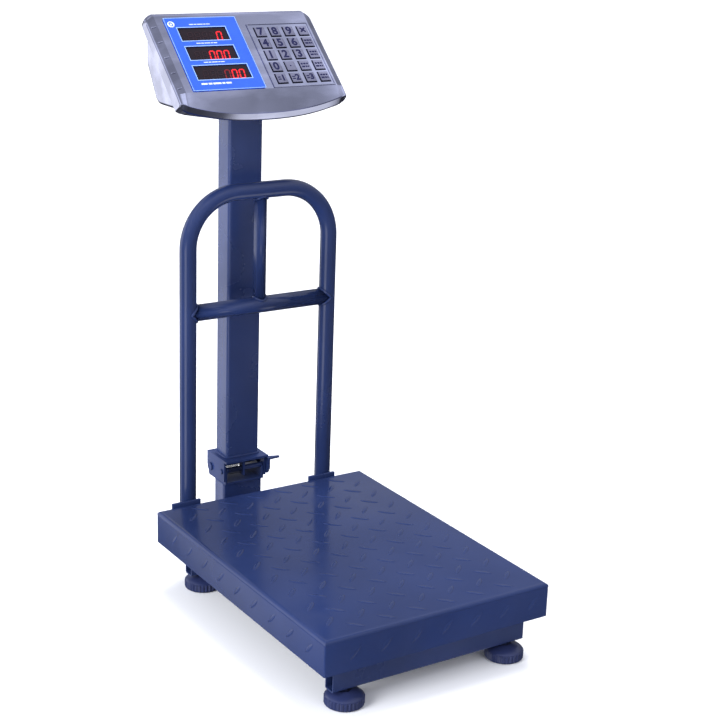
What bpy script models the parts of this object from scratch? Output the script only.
"""Folding platform scale: sprung-latch column, tray platform with guard rail, tilted price-computing head.

Metres, +Z up, the operator stands on the -Y side. The row origin is on the floor, in the middle of the
scale's overall length. Most sizes below are given from three anchors:
  deck   the middle of the platform's top face
  hinge  the pin that the column folds about
  face   the middle of the display face's top edge, tilted with the face (x right, y up the slope, z out)
"""
import math

import bmesh
import bpy
from mathutils import Matrix, Vector

# ---- driving dimensions -------------------------------------------------------------------------
GAP = 0.0003                       # air left between neighbouring pieces

DECK_Y, DECK_Z = -0.05775, 0.093     # the deck anchor in the row frame
PAN_X, PAN_Y, PAN_H = 0.300, 0.400, 0.0413
PAN_SHEET, PAN_EDGE = 0.0025, 0.0035

BEAM_D, BEAM_H, BEAM_WALL, BEAM_EDGE = 0.016, 0.030, 0.0015, 0.0022
BEAM_HALF = 0.129                  # half length of a crossbeam
BEAM_BASE = -0.0727                # underside of the base frame, from the deck
FRONT_BEAM_Y, REAR_BEAM_Y = -0.177, 0.155
SPINE_W, SPINE_H, SPINE_TOP, SPINE_WALL = 0.040, 0.0235, -0.0466, 0.0020

FOOT_X, FOOT_R, FOOT_H = 0.109, 0.0226, 0.0168
STUD_R, STUD_TOP = 0.0038, 0.040   # stud top from the floor
NUT_FLATS, NUT_H = 0.013, 0.0028

CELL = (0.030, 0.130, 0.0210)      # load cell block
CELL_TOP, CELL_SEAT = -0.0218, (0.030, 0.062)            # its top, and where its seat starts and ends along Y
CELL_HOLE_R, CELL_HOLE_Y = 0.0080, 0.0120
SPIDER_TOP, SPIDER_H = -0.0071, 0.0120
SPIDER_HUB, SPIDER_ARM = (0.030, 0.066), 0.024           # hub half sizes, arm width
BUMPER_R, BUMPER_H = 0.011, 0.0036
BUMPER_X, BUMPER_Y = 0.105, 0.150

RAIL_X, RAIL_Y = 0.0995, 0.2151    # side tube axes
RAIL_R, RAIL_WALL, RAIL_BEND = 0.0105, 0.0015, 0.066
RAIL_FOOT, RAIL_TOP = -0.034, 0.3900
BAR_R, BAR_Z, PICKET_R = 0.0105, 0.2440, 0.0080
LUG_T, LUG_LOW, LUG_HIGH = 0.0040, -0.0370, 0.0038
LUG_SPAN = (-0.0285, 0.0110)       # its left and right ends, from the tube it carries

STUB = (0.0570, 0.0260)            # lower post, width and depth
STUB_Y, STUB_TOP, STUB_WALL, STUB_EDGE = 0.2650, -0.0064, 0.0020, 0.0030
PIN_Y, PIN_Z, PIN_R = 0.2830, 0.0090, 0.0040
LATCH_Y, LATCH_Z, LATCH_R = -0.0295, 0.0025, 0.0034      # latch rod, from the hinge pin
CHEEK_T, CHEEK_BACK, CROWN_R = 0.0025, 0.0110, 0.0140    # fixed bracket: sheet, rear edge, crown over the pin
SEAT_PLAY, SEAT_LIP = 0.0005, 0.0022                     # room round the latch rod, metal before its seat
EAR_IN = STUB[0] / 2 + GAP / 2                           # inner face of the moving ears
EAR_OUT = EAR_IN + CHEEK_T
ROOF_FRONT, ROOF_BACK, ROOF_LOW, ROOF_HIGH = -0.0430, 0.0105, 0.0165, 0.0195
OVERLAP = 0.0010                                         # how far joined solids run into each other
COLUMN = (0.0475, 0.0315)
COLUMN_Y, COLUMN_TOP, COLUMN_WALL, COLUMN_EDGE = 0.2687, 0.4850, 0.0015, 0.0035

TILT = math.radians(42.5)
FACE_Y, FACE_Z = 0.3036, 0.5985    # the face anchor, from the deck
HEAD_HALF, FACE_HALF, FOLD = 0.1150, 0.1040, 0.1250
HEAD_WALL, HEAD_CORNER = 0.0018, 0.0120
BORDER_TILT, ROLL_START, ROLL_R = math.radians(22.0), 0.1125, 0.0040
CHIN_Y, CHIN_Z, CHIN_RISE = 0.2025, 0.4868, 0.0136       # bowed chin: middle, and how far its ends rise
RIM_Y, RIM_DROP, RIM_SLANT, RIM_SET_BACK = 0.2002, 0.0092, 0.0024, 0.0035
REAR_HALF, REAR_WALL, REAR_FLANGE = 0.1050, 0.0020, 0.1125
REAR_BACK, REAR_TOP, REAR_LOW = 0.3155, 0.5760, 0.4905   # rear tub, from the deck
SWITCH_AT_DECK = (0.2860, 0.5330)
SWITCH, SWITCH_RIM, SWITCH_POCKET = (0.0065, 0.0095), 0.0015, (0.0052, 0.0082)
BATTERY = ((-0.040, 0.2500, 0.4932), (0.050, 0.2840, 0.5320))
BOARD = (-0.098, 0.102, 0.012, 0.124)                    # left, right, top, bottom
LABEL = (-0.0940, 0.0039, 0.0115, 0.1243)                # left, right, top, bottom down the slope
WINDOWS = ((-0.0805, -0.0155, 0.0275, 0.0480), (-0.0805, -0.0155, 0.0570, 0.0778),
           (-0.0818, -0.0090, 0.0865, 0.1080))
BEZEL = (0.0160, 0.1010, 0.0252, 0.1236)
KEY = (0.0136, 0.0146, 0.0062)
KEY_FIRST, KEY_PITCH = (0.0297, 0.0382), (0.0202, 0.0184)
KEY_RISE, KEY_COLUMNS, KEY_ROWS = 0.0022, 4, 5

# ---- colours: base colour, roughness, metallic --------------------------------------------------
LOOKS = {
    "navy_paint": ((0.035, 0.055, 0.165), 0.35, 0.0),
    "black_plastic": ((0.012, 0.015, 0.040), 0.50, 0.0),
    "zinc": ((0.55, 0.55, 0.58), 0.35, 1.0),
    "aluminium": ((0.70, 0.70, 0.72), 0.40, 1.0),
    "rubber": ((0.020, 0.020, 0.022), 0.85, 0.0),
    "polished_steel": ((0.62, 0.61, 0.72), 0.18, 1.0),
    "key_metal": ((0.42, 0.42, 0.55), 0.30, 1.0),
    "blue_label": ((0.020, 0.125, 0.800), 0.35, 0.0),
    "smoked_window": ((0.020, 0.015, 0.020), 0.08, 0.0),
    "circuit_green": ((0.020, 0.160, 0.070), 0.50, 0.0),
    "battery_grey": ((0.100, 0.100, 0.110), 0.55, 0.0),
}


# ---- general helpers ----------------------------------------------------------------------------
def clear_scene():
    for obj in list(bpy.data.objects):
        bpy.data.objects.remove(obj, do_unlink=True)


def new_collection(name):
    group = bpy.data.collections.new(name)
    bpy.context.scene.collection.children.link(group)
    return group


def make_material(name):
    colour, roughness, metallic = LOOKS[name]
    material = bpy.data.materials.new(name)
    material.use_nodes = True
    shader = material.node_tree.nodes["Principled BSDF"]
    shader.inputs["Base Color"].default_value = (*colour, 1.0)
    shader.inputs["Roughness"].default_value = roughness
    shader.inputs["Metallic"].default_value = metallic
    return material


def anchor(name, at, tilt=0.0):
    empty = bpy.data.objects.new(name, None)
    empty.location = at
    empty.rotation_euler = (tilt, 0.0, 0.0)
    PARTS.objects.link(empty)
    return empty


def add(name, mesh, look, parent, at=(0, 0, 0)):
    """Makes a named part of a mesh in its own material and stands it on an anchor."""
    obj = bpy.data.objects.new(name, mesh)
    PARTS.objects.link(obj)
    own = make_material(look)
    own.name = f"{name}_{look}"
    mesh.materials.append(own)
    obj.parent = parent
    obj.location = at
    return obj


def mesh_from(bm, name):
    bmesh.ops.recalc_face_normals(bm, faces=bm.faces)
    mesh = bpy.data.meshes.new(name)
    bm.to_mesh(mesh)
    bm.free()
    return mesh


def box_mesh(name, size, centre=(0, 0, 0)):
    bm = bmesh.new()
    bmesh.ops.create_cube(bm, size=1.0)
    bmesh.ops.scale(bm, vec=size, verts=bm.verts)
    bmesh.ops.translate(bm, vec=centre, verts=bm.verts)
    return mesh_from(bm, name)


def span_mesh(name, low, high):
    """A box given by its lowest and highest corners."""
    size = [b - a for a, b in zip(low, high)]
    centre = [(a + b) / 2 for a, b in zip(low, high)]
    return box_mesh(name, size, centre)


def cylinder_mesh(name, radius, low, high, axis="Z", sides=24):
    bm = bmesh.new()
    bmesh.ops.create_cone(bm, cap_ends=True, segments=sides, radius1=radius, radius2=radius, depth=high - low)
    bmesh.ops.translate(bm, vec=(0, 0, (low + high) / 2), verts=bm.verts)
    turn = {"X": Matrix.Rotation(math.pi / 2, 3, "Y"), "Y": Matrix.Rotation(-math.pi / 2, 3, "X"),
            "Z": Matrix.Identity(3)}[axis]
    bmesh.ops.rotate(bm, cent=(0, 0, 0), matrix=turn, verts=bm.verts)
    return mesh_from(bm, name)


def outline_mesh(name, outline, low, high, axis="X"):
    """A prism of a flat outline. On axis X the outline is (y, z), on Y it is (x, z), on Z it is (x, y)."""
    place = {"X": lambda a, b, h: (h, a, b), "Y": lambda a, b, h: (a, h, b), "Z": lambda a, b, h: (a, b, h)}
    bm = bmesh.new()
    floor = [bm.verts.new(place[axis](a, b, low)) for a, b in outline]
    face = bm.faces.new(floor)
    raised = bmesh.ops.extrude_face_region(bm, geom=[face])["geom"]
    top = [item for item in raised if isinstance(item, bmesh.types.BMVert)]
    bmesh.ops.translate(bm, vec=place[axis](0, 0, high - low), verts=top)
    return mesh_from(bm, name)


def loft_mesh(name, sections):
    """A closed body through sections of equal point counts, capped at both ends."""
    bm = bmesh.new()
    rings = [[bm.verts.new(point) for point in section] for section in sections]
    for near, far in zip(rings, rings[1:]):
        for index in range(len(near)):
            after = (index + 1) % len(near)
            bm.faces.new((near[index], near[after], far[after], far[index]))
    bm.faces.new(rings[0])
    bm.faces.new(rings[-1])
    return mesh_from(bm, name)


def arc(centre, radius, start, end, steps):
    """Points on an arc, angles in degrees."""
    angles = [math.radians(start + (end - start) * step / steps) for step in range(steps + 1)]
    return [(centre[0] + radius * math.cos(a), centre[1] + radius * math.sin(a)) for a in angles]


def round_rect(width, depth, radius, steps=3):
    half_w, half_d = width / 2 - radius, depth / 2 - radius
    corners = ((half_w, half_d, 0), (-half_w, half_d, 90), (-half_w, -half_d, 180), (half_w, -half_d, 270))
    return [p for x, y, start in corners for p in arc((x, y), radius, start, start + 90, steps)]


def cut(obj, mesh, operation="DIFFERENCE"):
    """Cuts a part with a mesh in the part's own coordinates, or joins the mesh to it."""
    tool = bpy.data.objects.new(f"{obj.name}_cutter_{len(obj.modifiers)}", mesh)
    CUTTERS.objects.link(tool)
    tool.parent = obj
    tool.hide_render = True
    tool.display_type = "WIRE"
    step = obj.modifiers.new(tool.name, "BOOLEAN")
    step.operation = operation
    step.object = tool
    step.solver = "EXACT"


def join(obj, mesh):
    cut(obj, mesh, "UNION")


def bevel(obj, width, segments=1, angle=40.0):
    step = obj.modifiers.new("rounded_edges", "BEVEL")
    step.width = width
    step.segments = segments
    step.limit_method = "ANGLE"
    step.angle_limit = math.radians(angle)


def smooth(obj, angle=35.0):
    obj.data.shade_smooth()
    obj.data.set_sharp_from_angle(angle=math.radians(angle))


def path_mesh(name, points, radius, resolution=3):
    """The mesh of a round rod along points, capped and welded."""
    curve = bpy.data.curves.new(name, "CURVE")
    curve.dimensions = "3D"
    curve.bevel_depth = radius
    curve.bevel_resolution = resolution
    curve.use_fill_caps = True
    spline = curve.splines.new("POLY")
    spline.points.add(len(points) - 1)
    for slot, point in zip(spline.points, points):
        slot.co = (*point, 1.0)
    guide = bpy.data.objects.new(name, curve)
    PARTS.objects.link(guide)
    graph = bpy.context.evaluated_depsgraph_get()
    mesh = bpy.data.meshes.new_from_object(guide.evaluated_get(graph))
    bpy.data.objects.remove(guide, do_unlink=True)
    bm = bmesh.new()
    bm.from_mesh(mesh)
    bmesh.ops.remove_doubles(bm, verts=bm.verts, dist=0.00001)
    bmesh.ops.recalc_face_normals(bm, faces=bm.faces)
    bm.to_mesh(mesh)
    bm.free()
    return mesh


def turned(name, profile, look, parent, at, steps=28):
    """A turned body: the profile runs from the axis at the top, down the outer side, to the axis below."""
    mesh = bpy.data.meshes.new(name)
    edges = [(index, index + 1) for index in range(len(profile) - 1)]
    mesh.from_pydata([(radius, 0.0, height) for radius, height in profile], edges, [])
    obj = add(name, mesh, look, parent, at)
    screw = obj.modifiers.new("turned", "SCREW")
    screw.steps = steps
    screw.render_steps = steps
    screw.use_merge_vertices = True
    screw.merge_threshold = 0.00005
    return obj


# ---- base frame ---------------------------------------------------------------------------------
def square_tube(name, size, wall, low, high, axis, parent, at, edge):
    """An open-ended rectangular tube with rounded corners, along X or Z."""
    obj = add(name, outline_mesh(name, round_rect(*size, edge), low, high, axis), "navy_paint", parent, at)
    inside = round_rect(size[0] - 2 * wall, size[1] - 2 * wall, max(edge - wall, 0.0006))
    cut(obj, outline_mesh("bore", inside, low - 0.01, high + 0.01, axis))
    return obj


def crossbeam(name, y):
    middle = BEAM_BASE + BEAM_H / 2
    beam = square_tube(name, (BEAM_D, BEAM_H), BEAM_WALL, -BEAM_HALF, BEAM_HALF, "X", DECK, (0, y, middle),
                       BEAM_EDGE)
    for side in (-1, 1):
        hole = cylinder_mesh("stud_hole", STUD_R + GAP, -BEAM_H / 2 - 0.005, -BEAM_H / 2 + 0.005, sides=16)
        hole.transform(Matrix.Translation((side * FOOT_X, 0, 0)))
        cut(beam, hole)
    return beam


def base_frame():
    crossbeam("front_crossbeam", FRONT_BEAM_Y)
    rear = crossbeam("rear_crossbeam", REAR_BEAM_Y)
    spine_low = SPINE_TOP - SPINE_H
    middle = BEAM_BASE + BEAM_H / 2
    cut(rear, span_mesh("spine_window", (-SPINE_W / 2 - GAP, -BEAM_D, spine_low - middle - GAP),
                        (SPINE_W / 2 + GAP, BEAM_D, SPINE_TOP - middle + GAP)))
    front_end = FRONT_BEAM_Y + BEAM_D / 2 + GAP
    rear_end = STUB_Y - STUB[1] / 2 - GAP
    outer = span_mesh("centre_beam", (-SPINE_W / 2, front_end, spine_low), (SPINE_W / 2, rear_end, SPINE_TOP))
    spine = add("centre_beam", outer, "navy_paint", DECK)
    cut(spine, span_mesh("bore", (SPINE_WALL - SPINE_W / 2, front_end - 0.01, spine_low + SPINE_WALL),
                         (SPINE_W / 2 - SPINE_WALL, rear_end + 0.01, SPINE_TOP - SPINE_WALL)))
    join(spine, span_mesh("cell_seat", (-CELL[0] / 2, CELL_SEAT[0], SPINE_TOP - OVERLAP),
                          (CELL[0] / 2, CELL_SEAT[1], CELL_TOP - CELL[2] - GAP)))
    square_tube("lower_post", STUB, STUB_WALL, BEAM_BASE, STUB_TOP, "Z", DECK, (0, STUB_Y, 0), STUB_EDGE)


def feet():
    profile = [(0, STUD_TOP), (STUD_R - 0.0006, STUD_TOP), (STUD_R, STUD_TOP - 0.0008), (STUD_R, FOOT_H),
               (0.0088, FOOT_H), (0.0150, 0.0152), (0.0195, 0.0132), (0.0220, 0.0108), (FOOT_R, 0.0095),
               (FOOT_R, 0.0022), (0.0210, 0.0), (0, 0)]
    beam_low = DECK_Z + BEAM_BASE
    for row, y in (("front", FRONT_BEAM_Y), ("rear", REAR_BEAM_Y)):
        for side, x in (("left", -FOOT_X), ("right", FOOT_X)):
            foot = turned(f"foot_{row}_{side}", profile, "black_plastic", DECK, (x, y, -DECK_Z))
            smooth(foot)
            corner = NUT_FLATS / math.sqrt(3)
            low, high = beam_low - GAP - NUT_H, beam_low - GAP
            nut_mesh = cylinder_mesh("nut", corner, low, high, sides=6)
            nut = add(f"lock_nut_{row}_{side}", nut_mesh, "zinc", DECK, (x, y, -DECK_Z))
            cut(nut, cylinder_mesh("thread", STUD_R + GAP, low - 0.01, high + 0.01, sides=16))


def load_cell():
    width, length, height = CELL
    low = CELL_TOP - height
    block = span_mesh("load_cell", (-width / 2, -length / 2, low), (width / 2, length / 2, CELL_TOP))
    cell = add("load_cell", block, "aluminium", DECK)
    for y in (-CELL_HOLE_Y, CELL_HOLE_Y):
        hole = cylinder_mesh("flexure", CELL_HOLE_R, -width, width, "X", 20)
        hole.transform(Matrix.Translation((0, y, (low + CELL_TOP) / 2)))
        cut(cell, hole)


def weigh_frame():
    """A flat spider on the load cell, with a rubber bumper under each corner of the tray."""
    low, high = SPIDER_TOP - SPIDER_H, SPIDER_TOP
    spider = add("weigh_frame", span_mesh("hub", (-SPIDER_HUB[0], -SPIDER_HUB[1], low),
                                          (SPIDER_HUB[0], SPIDER_HUB[1], high)), "navy_paint", DECK)
    span = BUMPER_X + SPIDER_ARM / 2
    for y in (-BUMPER_Y, BUMPER_Y):
        join(spider, span_mesh("arm", (-span, y - SPIDER_ARM / 2, low), (span, y + SPIDER_ARM / 2, high)))
    join(spider, span_mesh("rib", (-SPIDER_ARM / 2, -BUMPER_Y, low + OVERLAP),
                           (SPIDER_ARM / 2, BUMPER_Y, high - OVERLAP)))
    join(spider, span_mesh("boss", (-CELL[0] / 2, -CELL_SEAT[1], CELL_TOP + GAP),
                           (CELL[0] / 2, -CELL_SEAT[0], high - OVERLAP)))
    high, chamfer = BUMPER_H, 0.0015
    bumper = [(0, high), (BUMPER_R - chamfer, high), (BUMPER_R, high - chamfer), (BUMPER_R, 0), (0, 0)]
    for row, y in (("front", -BUMPER_Y), ("rear", BUMPER_Y)):
        for side, x in (("left", -BUMPER_X), ("right", BUMPER_X)):
            turned(f"bumper_{row}_{side}", bumper, "rubber", DECK, (x, y, SPIDER_TOP + GAP), steps=20)


# ---- platform and its guard rail ----------------------------------------------------------------
def platform_pan():
    bm = bmesh.new()
    bmesh.ops.create_cube(bm, size=1.0)
    bmesh.ops.scale(bm, vec=(PAN_X, PAN_Y, PAN_H), verts=bm.verts)
    bmesh.ops.translate(bm, vec=(0, 0, -PAN_H / 2), verts=bm.verts)
    under = [face for face in bm.faces if face.normal.z < -0.5]
    bmesh.ops.delete(bm, geom=under, context="FACES_ONLY")
    upper = [edge for edge in bm.edges if all(vert.co.z > -0.001 for vert in edge.verts)]
    upright = [edge for edge in bm.edges if abs(edge.verts[0].co.z - edge.verts[1].co.z) > 0.01]
    bmesh.ops.bevel(bm, geom=upper + upright, offset=PAN_EDGE, segments=3, profile=0.5, affect="EDGES")
    mesh = bpy.data.meshes.new("platform_pan")
    bmesh.ops.recalc_face_normals(bm, faces=bm.faces)
    bm.to_mesh(mesh)
    bm.free()
    pan = add("platform_pan", mesh, "navy_paint", DECK)
    sheet = pan.modifiers.new("sheet", "SOLIDIFY")
    sheet.thickness = PAN_SHEET
    sheet.offset = -1.0
    sheet.use_even_offset = True


def hoop_points(low):
    bend_z = RAIL_TOP - RAIL_BEND
    right = arc((RAIL_X - RAIL_BEND, bend_z), RAIL_BEND, 0, 90, 8)
    left = arc((RAIL_BEND - RAIL_X, bend_z), RAIL_BEND, 90, 180, 8)
    run = [(RAIL_X, low)] + right + left + [(-RAIL_X, low)]
    return [(x, RAIL_Y, z) for x, z in run]


def guard_rail():
    hoop = add("rail_hoop", path_mesh("hoop", hoop_points(RAIL_FOOT), RAIL_R, 4), "navy_paint", DECK)
    cut(hoop, path_mesh("bore", hoop_points(RAIL_FOOT - 0.01), RAIL_R - RAIL_WALL, 3))
    bar = add("rail_crossbar", cylinder_mesh("crossbar", BAR_R, -RAIL_X, RAIL_X, "X"), "navy_paint", DECK,
              (0, RAIL_Y, BAR_Z))
    cut(bar, cylinder_mesh("bore", BAR_R - RAIL_WALL, -0.2, 0.2, "X", 20))
    for side in (-1, 1):
        cope = cylinder_mesh("cope", RAIL_R + 2 * GAP, -0.03, 0.03, sides=32)
        cope.transform(Matrix.Translation((side * RAIL_X, 0, 0)))
        cut(bar, cope)
    picket = add("rail_centre_bar", cylinder_mesh("picket", PICKET_R, BAR_Z, RAIL_TOP), "navy_paint", DECK,
                 (0, RAIL_Y, 0))
    cut(picket, cylinder_mesh("bore", PICKET_R - RAIL_WALL, 0.1, 0.5, sides=20))
    for z, radius in ((BAR_Z, BAR_R), (RAIL_TOP, RAIL_R)):
        cope = cylinder_mesh("cope", radius + 2 * GAP, -0.03, 0.03, "X", 32)
        cope.transform(Matrix.Translation((0, 0, z)))
        cut(picket, cope)
    for side, x in (("left", -RAIL_X), ("right", RAIL_X)):
        low = (LUG_SPAN[0], PAN_Y / 2 + GAP, LUG_LOW)
        high = (LUG_SPAN[1], PAN_Y / 2 + GAP + LUG_T, LUG_HIGH)
        lug = add(f"rail_lug_{side}", span_mesh("lug", low, high), "navy_paint", DECK, (x, 0, 0))
        bevel(lug, 0.0008)


# ---- hinge, latch and column --------------------------------------------------------------------
def cheek_outline():
    """Side of the fixed bracket, from the hinge pin: round over the pin, open seat for the latch rod."""
    floor = STUB_TOP + GAP - PIN_Z
    seat_r = LATCH_R + SEAT_PLAY
    seat = arc((LATCH_Y, LATCH_Z), seat_r, 180, 360, 6)
    crown = arc((0, 0), CROWN_R, 110, 0, 6)
    front = LATCH_Y - seat_r - SEAT_LIP
    return [(front, floor), (front, LATCH_Z)] + seat + crown + [(CHEEK_BACK, floor)]


def fixed_bracket():
    floor = STUB_TOP + GAP - PIN_Z
    half = STUB[0] / 2 - GAP
    front = LATCH_Y - LATCH_R - SEAT_PLAY - SEAT_LIP
    base = span_mesh("bracket_floor", (-half, front, floor), (half, CHEEK_BACK, floor + CHEEK_T))
    bracket = add("fixed_bracket", base, "navy_paint", HINGE)
    for side in (-1, 1):
        inner, outer = sorted((side * (half - CHEEK_T), side * half))
        join(bracket, outline_mesh("cheek", cheek_outline(), inner, outer))
    cut(bracket, cylinder_mesh("pin_hole", PIN_R + GAP, -STUB[0], STUB[0], "X", 20))


def ear_outline():
    """Side plate of the folding bracket, from the hinge pin, run a little way into the roof."""
    top, front, foot = ROOF_LOW + OVERLAP, -0.0365, -0.0103
    return [(front, top), (front, foot), (-0.0050, foot), (ROOF_BACK, 0.0005), (ROOF_BACK, top)]


def folding_bracket():
    roof = span_mesh("roof", (-EAR_OUT, ROOF_FRONT, ROOF_LOW), (EAR_OUT, ROOF_BACK, ROOF_HIGH))
    bracket = add("folding_bracket", roof, "navy_paint", HINGE)
    for side in (-1, 1):
        low, high = sorted((side * EAR_IN, side * EAR_OUT))
        join(bracket, outline_mesh("ear", ear_outline(), low, high))
    stop_low, stop_high = (-0.0020, -0.0345, -0.0060), (0.0010, -0.0245, ROOF_LOW + OVERLAP)
    join(bracket, span_mesh("spring_stop", stop_low, stop_high))
    cut(bracket, cylinder_mesh("pin_hole", PIN_R + GAP, -STUB[0], STUB[0], "X", 20))
    rod_hole = cylinder_mesh("rod_hole", LATCH_R + GAP, -STUB[0], STUB[0], "X", 20)
    rod_hole.transform(Matrix.Translation((0, LATCH_Y, LATCH_Z)))
    cut(bracket, rod_hole)


def hinge_pin():
    head, rivet, rise = PIN_R + 0.0022, PIN_R + 0.0014, 0.0022
    shank = cylinder_mesh("pin", PIN_R, -EAR_OUT - OVERLAP, EAR_OUT + OVERLAP, "X")
    pin = add("hinge_pin", shank, "zinc", HINGE)
    join(pin, cylinder_mesh("head", head, EAR_OUT + GAP, EAR_OUT + rise, "X"))
    join(pin, cylinder_mesh("rivet", rivet, -EAR_OUT - rise, -EAR_OUT - GAP, "X"))


def latch_bolt():
    """A rod along X with a collar for the spring and a bent finger tab outside the right ear."""
    at = (0, LATCH_Y, LATCH_Z)
    rod = cylinder_mesh("rod", LATCH_R, -EAR_OUT - 0.0018, EAR_OUT + 0.0020, "X", 20)
    bolt = add("latch_bolt", rod, "zinc", HINGE, at)
    join(bolt, cylinder_mesh("collar", LATCH_R + 0.0014, -0.0250, -0.0235, "X", 20))
    tab_low = EAR_OUT + 2 * GAP
    tab = [(-0.0130, 0.0120), (-0.0130, -0.0030), (-0.0080, -0.0105), (0.0055, -0.0105), (0.0055, 0.0060),
           (-0.0020, 0.0120)]
    join(bolt, outline_mesh("tab", tab, tab_low, tab_low + 0.0028))
    finger = [(tab_low, -0.0130), (tab_low, -0.0040), (0.0480, -0.0085), (0.0500, -0.0105), (0.0480, -0.0125)]
    join(bolt, outline_mesh("finger", finger, 0.0095, 0.0119, "Z"))


def latch_spring():
    turns, per_turn = 7, 10
    coil_r, wire_r = LATCH_R + 0.0021, 0.00055
    start, end = -0.0225, -0.0032
    count = turns * per_turn
    points = []
    for step in range(count + 1):
        angle = 2 * math.pi * step / per_turn
        x = start + (end - start) * step / count
        points.append((x, LATCH_Y + coil_r * math.cos(angle), LATCH_Z + coil_r * math.sin(angle)))
    add("latch_spring", path_mesh("coil", points, wire_r, 2), "zinc", HINGE)


def column():
    square_tube("column", COLUMN, COLUMN_WALL, ROOF_HIGH + GAP, COLUMN_TOP - PIN_Z, "Z", HINGE,
                (0, COLUMN_Y - PIN_Y, 0), COLUMN_EDGE)
    inner = (COLUMN[0] - 2 * COLUMN_WALL - 2 * GAP, COLUMN[1] - 2 * COLUMN_WALL - 2 * GAP)
    seat = COLUMN_TOP + GAP - PIN_Z
    plug = outline_mesh("plug", round_rect(*inner, 0.0018), seat - 0.0220, seat + OVERLAP, "Z")
    bracket = add("head_bracket", plug, "navy_paint", HINGE, (0, COLUMN_Y - PIN_Y, 0))
    join(bracket, outline_mesh("plate", round_rect(0.070, 0.044, 0.004), seat, seat + 0.0036, "Z"))


# ---- head ---------------------------------------------------------------------------------------
def slope(y, z):
    """Turns a point given from the deck into (down the slope, out of the face)."""
    dy, dz = y - FACE_Y, z - FACE_Z
    return -(dy * math.cos(TILT) + dz * math.sin(TILT)), dz * math.cos(TILT) - dy * math.sin(TILT)


def corner_loss(x):
    """How far the outline draws in at x because of the head's rounded corner."""
    over = max(0.0, abs(x) - (HEAD_HALF - HEAD_CORNER))
    return HEAD_CORNER - math.sqrt(max(0.0, HEAD_CORNER ** 2 - over ** 2))


def side_drop(x):
    """How far the face falls away over its bevelled border and the roll into the side wall."""
    over = abs(x) - FACE_HALF
    if over <= 0:
        return 0.0
    if abs(x) <= ROLL_START:
        return over * math.tan(BORDER_TILT)
    turn = math.asin(min(1.0, math.sin(BORDER_TILT) + (abs(x) - ROLL_START) / ROLL_R))
    start = (ROLL_START - FACE_HALF) * math.tan(BORDER_TILT)
    return start + ROLL_R * (math.cos(BORDER_TILT) - math.cos(turn))


def back_plane(v):
    return -0.0145 - 0.045 * v


def head_section(x, skin=0.0, reach=0.0):
    """Points (down the slope, out) of the front shell at x, drawn in by skin, with reach added behind."""
    drop = side_drop(x) + skin
    loss = corner_loss(x) * (1 if skin == 0 else 0.9)
    top = loss + skin
    bow = (min(abs(x), 0.108) / 0.106) ** 2.4
    back = skin + RIM_SET_BACK * (x / HEAD_HALF) ** 2
    chin_z = CHIN_Z + CHIN_RISE * bow + loss * 0.4
    rim_z = chin_z - RIM_DROP + skin + loss * 0.35
    chin = slope(CHIN_Y + back, chin_z + skin * 0.3)
    rim = slope(RIM_Y + back, chin_z - 0.0006)
    lower = slope(RIM_Y + back + RIM_SLANT, rim_z + 0.0016)
    under = slope(RIM_Y + back + RIM_SLANT + 0.0014, rim_z)
    behind = back_plane(under[0]) - reach
    rear = (under[0] - 0.003, behind)
    top_behind = back_plane(top) - reach
    return [(top, top_behind), (top, -0.0062 - drop), (top + 0.0012, -0.0036 - drop),
            (top + 0.0040, -0.0030 - drop), (top + 0.0072, -drop), (FOLD - loss * 0.3, -drop),
            (chin[0], min(chin[1], -0.0005 - drop)), (rim[0], min(rim[1], -0.0007 - drop)),
            (lower[0], min(lower[1], -0.0020 - drop)), (under[0], min(under[1], -0.0040 - drop)), rear]


def head_stations(half):
    inner = [0.0, 0.028, 0.056, 0.080, 0.096]
    outer = [FACE_HALF, 0.1085, ROLL_START, 0.1137, 0.1146, HEAD_HALF]
    right = [x for x in inner + outer if x < half] + [half]
    return [-x for x in reversed(right[1:])] + right


def front_shell():
    def body(half, skin, reach):
        return loft_mesh("shell", [[(x, -v, n) for v, n in head_section(x, skin, reach)]
                                   for x in head_stations(half)])
    shell = add("front_shell", body(HEAD_HALF, 0.0, 0.0), "polished_steel", FACE)
    cut(shell, body(HEAD_HALF - HEAD_WALL, HEAD_WALL, 0.02))
    left, right, top, bottom = (LABEL[0] + 0.010, LABEL[1] - 0.010, LABEL[2] + 0.011, LABEL[3] - 0.011)
    cut(shell, span_mesh("display_opening", (left, -bottom, -0.01), (right, -top, 0.01)))
    left, right, top, bottom = BEZEL
    opening = span_mesh("keypad_opening", (left - GAP, -bottom - GAP, -0.01), (right + GAP, -top + GAP, 0.01))
    cut(shell, opening)


def rear_shell():
    """The tub behind the front shell, with a flange that sits inside the front shell's rim."""
    def flange_section(x):
        section = head_section(x, HEAD_WALL + GAP)
        top, low = section[0][0], section[9][0] - 0.006
        return [(x, -top, back_plane(top)), (x, -top, back_plane(top) + 0.0020),
                (x, -low, back_plane(low) + 0.0020), (x, -low, back_plane(low))]

    def tub(skin, reach):
        """Side outline of the tub, drawn in by skin, its open front moved out by reach, level at the top."""
        back, low, top = REAR_BACK - skin, REAR_LOW + skin, REAR_TOP - skin
        first, last = slope(0.3008, top), slope(0.2180 + skin, 0.4960 + skin)
        corners = [(first[0] + reach / math.tan(TILT), first[1] + reach), slope(back, top),
                   slope(back, 0.5350), slope(0.2880 - skin, low), slope(0.2320, low),
                   (last[0], last[1] + reach)]
        return [(-v, n) for v, n in corners]

    inside = REAR_HALF - REAR_WALL
    shell = add("rear_shell", loft_mesh("flange", [flange_section(x) for x in head_stations(REAR_FLANGE)]),
                "polished_steel", FACE)
    join(shell, outline_mesh("tub", tub(0.0, 0.0), -REAR_HALF, REAR_HALF))
    cut(shell, outline_mesh("hollow", tub(REAR_WALL, 0.0070), -inside, inside))


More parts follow.
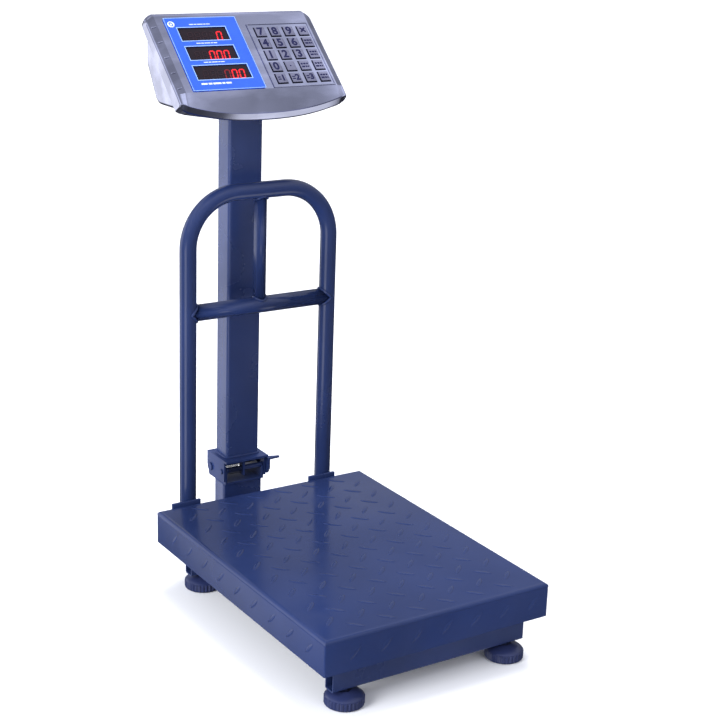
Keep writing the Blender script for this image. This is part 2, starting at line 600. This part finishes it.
def display():
    left, right, top, bottom = LABEL
    film = span_mesh("label", (left, -bottom, GAP), (right, -top, 0.0012))
    panel = add("display_panel", film, "blue_label", FACE)
    for window in WINDOWS:
        cut(panel, span_mesh("window", (window[0], -window[3], -0.01), (window[1], -window[2], 0.01)))
    inset = 0.0104
    add("display_window", span_mesh("lens", (left + inset, -bottom + inset + 0.001, -0.0018),
                                    (right - inset, -top - inset - 0.001, 0.0)), "smoked_window", FACE)


def circuit_board():
    left, right, top, bottom = BOARD
    board = add("circuit_board", span_mesh("board", (left, -bottom, -0.0085), (right, -top, -0.0071)),
                "circuit_green", FACE)
    for left, right, top, bottom in WINDOWS:
        join(board, span_mesh("led_block", (left + 0.004, -bottom + 0.003, -0.0075),
                              (right - 0.001, -top - 0.003, -0.0024)))


def keypad():
    left, right, top, bottom = BEZEL
    bezel = add("keypad_bezel", span_mesh("bezel", (left, -bottom, -0.0020), (right, -top, 0.0005)),
                "polished_steel", FACE)
    holes = bmesh.new()
    for column_index in range(KEY_COLUMNS):
        for row in range(KEY_ROWS):
            x = KEY_FIRST[0] + column_index * KEY_PITCH[0]
            y = -KEY_FIRST[1] - row * KEY_PITCH[1]
            hole = bmesh.ops.create_cube(holes, size=1.0)["verts"]
            bmesh.ops.scale(holes, vec=(KEY[0] + 0.0012, KEY[1] + 0.0012, 0.02), verts=hole)
            bmesh.ops.translate(holes, vec=(x, y, 0), verts=hole)
            key = add(f"key_r{row + 1}_c{column_index + 1}", box_mesh("key", KEY), "key_metal", FACE,
                      (x, y, KEY_RISE - KEY[2] / 2))
            bevel(key, 0.0006)
    cut(bezel, mesh_from(holes, "key_holes"))


def battery():
    add("battery", span_mesh("battery", *BATTERY), "battery_grey", DECK)


def switch_box(name, inner, outer, half, grow=0.0):
    """A box through the head's right wall, from the switch anchor."""
    return span_mesh(name, (inner, -half[0] - grow, -half[1] - grow), (outer, half[0] + grow, half[1] + grow))


def power_switch():
    """A rocker switch in the head's right side wall."""
    wall = REAR_HALF
    block = switch_box("body", wall - 0.0130, wall + OVERLAP, SWITCH)
    body = add("switch_body", block, "black_plastic", SWITCH_AT)
    join(body, switch_box("rim", wall + GAP, wall + SWITCH_RIM, SWITCH, SWITCH_RIM))
    cut(body, switch_box("pocket", wall - 0.0080, wall + 0.01, SWITCH_POCKET))
    hole = switch_box("switch_hole", wall - 0.01, wall + 0.01, SWITCH, GAP)
    offset = Vector((0, SWITCH_AT_DECK[0] - FACE_Y, SWITCH_AT_DECK[1] - FACE_Z))
    hole.transform(Matrix.Rotation(-TILT, 4, "X") @ Matrix.Translation(offset))
    cut(bpy.data.objects["rear_shell"], hole)


def power_rocker():
    """The rocker, from the pin it tips about: its upper half stands proud, its lower half is pressed in."""
    reach, rise, tip = 0.0070, 0.0030, math.radians(8.0)
    fall = 2 * reach * math.sin(tip)
    outline = [(-reach, 0.0008), (0.0, -0.0028), (reach, 0.0008 - 0.9 * fall), (reach * 0.97, rise - fall),
               (0.0, rise - 0.0010), (-reach * 0.97, rise + 0.0002)]
    mesh = outline_mesh("rocker", outline, -0.0047, 0.0047, "Y")
    mesh.transform(Matrix.Rotation(math.pi / 2, 4, "Y"))
    add("power_rocker", mesh, "black_plastic", SWITCH_AT, (REAR_HALF - OVERLAP, 0, 0))


clear_scene()
PARTS = new_collection("platform_scale")
CUTTERS = new_collection("cutters")
DECK_AT = Vector((0, DECK_Y, DECK_Z))
DECK = anchor("deck", DECK_AT)
HINGE = anchor("hinge", DECK_AT + Vector((0, PIN_Y, PIN_Z)))
FACE = anchor("face", DECK_AT + Vector((0, FACE_Y, FACE_Z)), TILT)
SWITCH_AT = anchor("switch", DECK_AT + Vector((0, *SWITCH_AT_DECK)))

base_frame()
feet()
load_cell()
weigh_frame()
platform_pan()
guard_rail()
fixed_bracket()
folding_bracket()
hinge_pin()
latch_bolt()
latch_spring()
column()
front_shell()
rear_shell()
display()
circuit_board()
keypad()
battery()
power_switch()
power_rocker()
